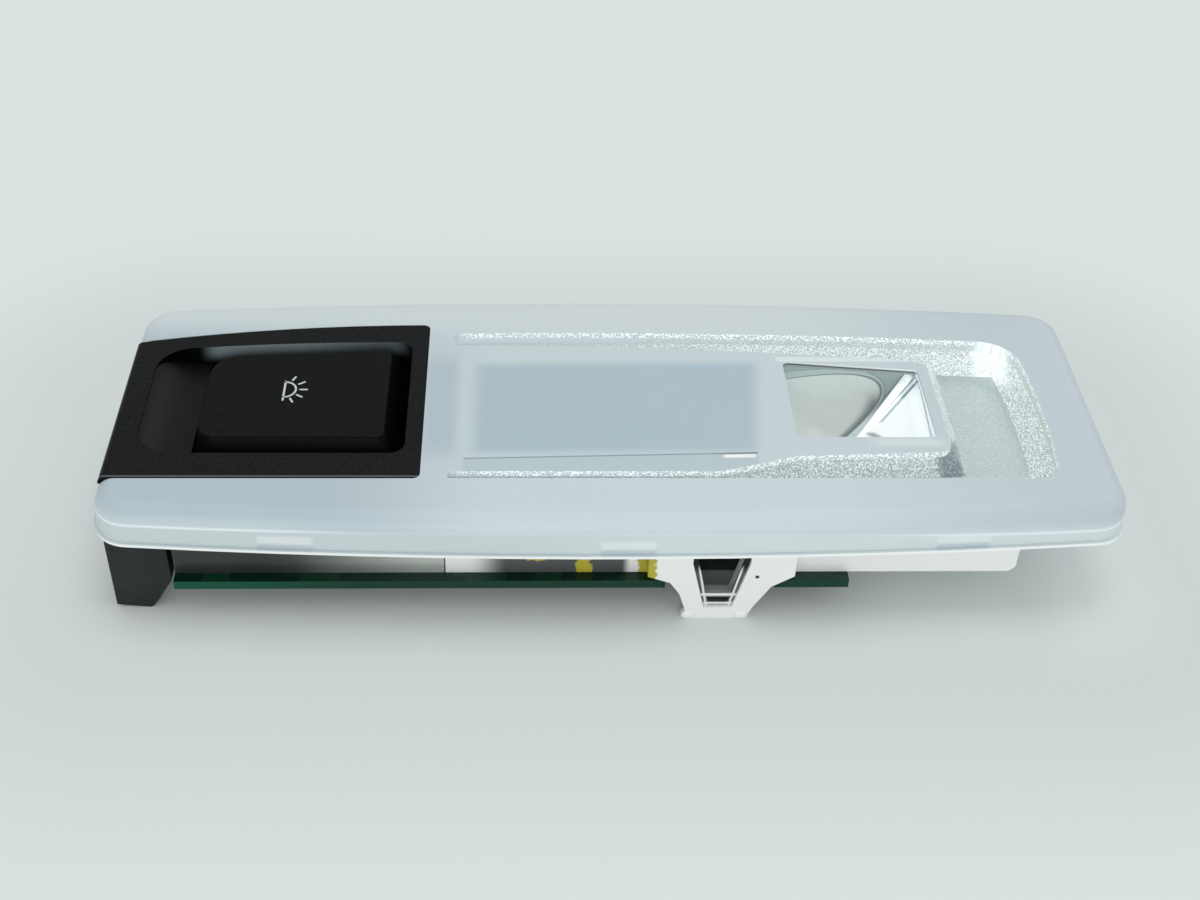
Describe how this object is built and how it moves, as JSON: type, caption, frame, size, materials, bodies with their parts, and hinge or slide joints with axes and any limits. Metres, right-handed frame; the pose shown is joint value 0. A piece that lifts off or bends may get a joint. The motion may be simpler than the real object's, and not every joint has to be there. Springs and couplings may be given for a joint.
{
  "type": "car dome light",
  "caption": "Oblong interior lamp with a milky lens frame, a rocking press key in a black panel and a clear window over a textured reflector and a spot reflector.",
  "frame": {"origin": "on the ground under the middle of the lens, where the legs and clip towers stand", "axes": "+X along the lamp from the key's end to the spot's end, +Y from the front long side to the rear one, +Z out of the lens, towards the cabin"},
  "size_m": [0.165, 0.062, 0.0218],
  "materials": {
    "lens_frame": "milky translucent plastic, satin top",
    "clear_window": "clear polished plastic",
    "switch_bezel": "fine-grained black",
    "press_key": "fine-grained black top, glossy flanks",
    "reflector_tray": "metallised over a fine pebble texture",
    "spot_reflector": "polished and metallised",
    "light_housing": "metallised, bare yellowish plastic at the coating's edge",
    "left_light_box": "metallised",
    "switch_housing": "black with light texture",
    "spring_clip_front": "stamped bright steel",
    "spring_clip_rear": "stamped bright steel",
    "circuit_board": "green solder mask",
    "area_diffuser": "white translucent",
    "area_leds": "phosphor over white case",
    "spot_led": "phosphor dome on white case",
    "symbol_led": "small white case",
    "light_pipe": "clear polished",
    "tact_switch": "black case",
    "tact_plunger": "cream",
    "driver_chip": "black moulded case",
    "power_transistor": "black moulded case",
    "resistors": "black film with pale ends",
    "capacitors": "drawn can",
    "protection_diode": "black moulded case",
    "connector_shell": "black moulded shell",
    "connector_pins": "tinned",
    "board_screws": "zinc-plated"
  },
  "bodies": {
    "lamp": {"lens_frame": "lens_frame", "clear_window": "clear_window", "switch_bezel": "switch_bezel", "reflector_tray": "reflector_tray", "spot_reflector": "spot_reflector", "light_housing": "light_housing", "left_light_box": "left_light_box", "switch_housing": "switch_housing", "spring_clip_front": "spring_clip_front", "spring_clip_rear": "spring_clip_rear", "circuit_board": "circuit_board", "area_diffuser": "area_diffuser", "area_leds": "area_leds", "spot_led": "spot_led", "symbol_led": "symbol_led", "light_pipe": "light_pipe", "tact_switch": "tact_switch", "driver_chip": "driver_chip", "power_transistor": "power_transistor", "resistors": "resistors", "capacitors": "capacitors", "protection_diode": "protection_diode", "connector_shell": "connector_shell", "connector_pins": "connector_pins", "board_screws": "board_screws"},
    "key": {"press_key": "press_key"},
    "plunger": {"tact_plunger": "tact_plunger"}
  },
  "joints": [
    {"name": "key_press", "type": "hinge", "parent": "lamp", "child": "key", "pos_m": [-0.0371, 0, 0.0172], "axis": [0, -1, 0], "range_deg": [0, 2.8], "stiffness_Nm_per_rad": 0.4, "springref_deg": -2.86},
    {"name": "plunger_travel", "type": "slide", "parent": "lamp", "child": "plunger", "axis": [0, 0, -1], "range_m": [0, 0.0006]}
  ],
  "couplings": [
    {"joint": "plunger_travel", "follows": "key_press", "m_per_rad": 0.012}
  ]
}
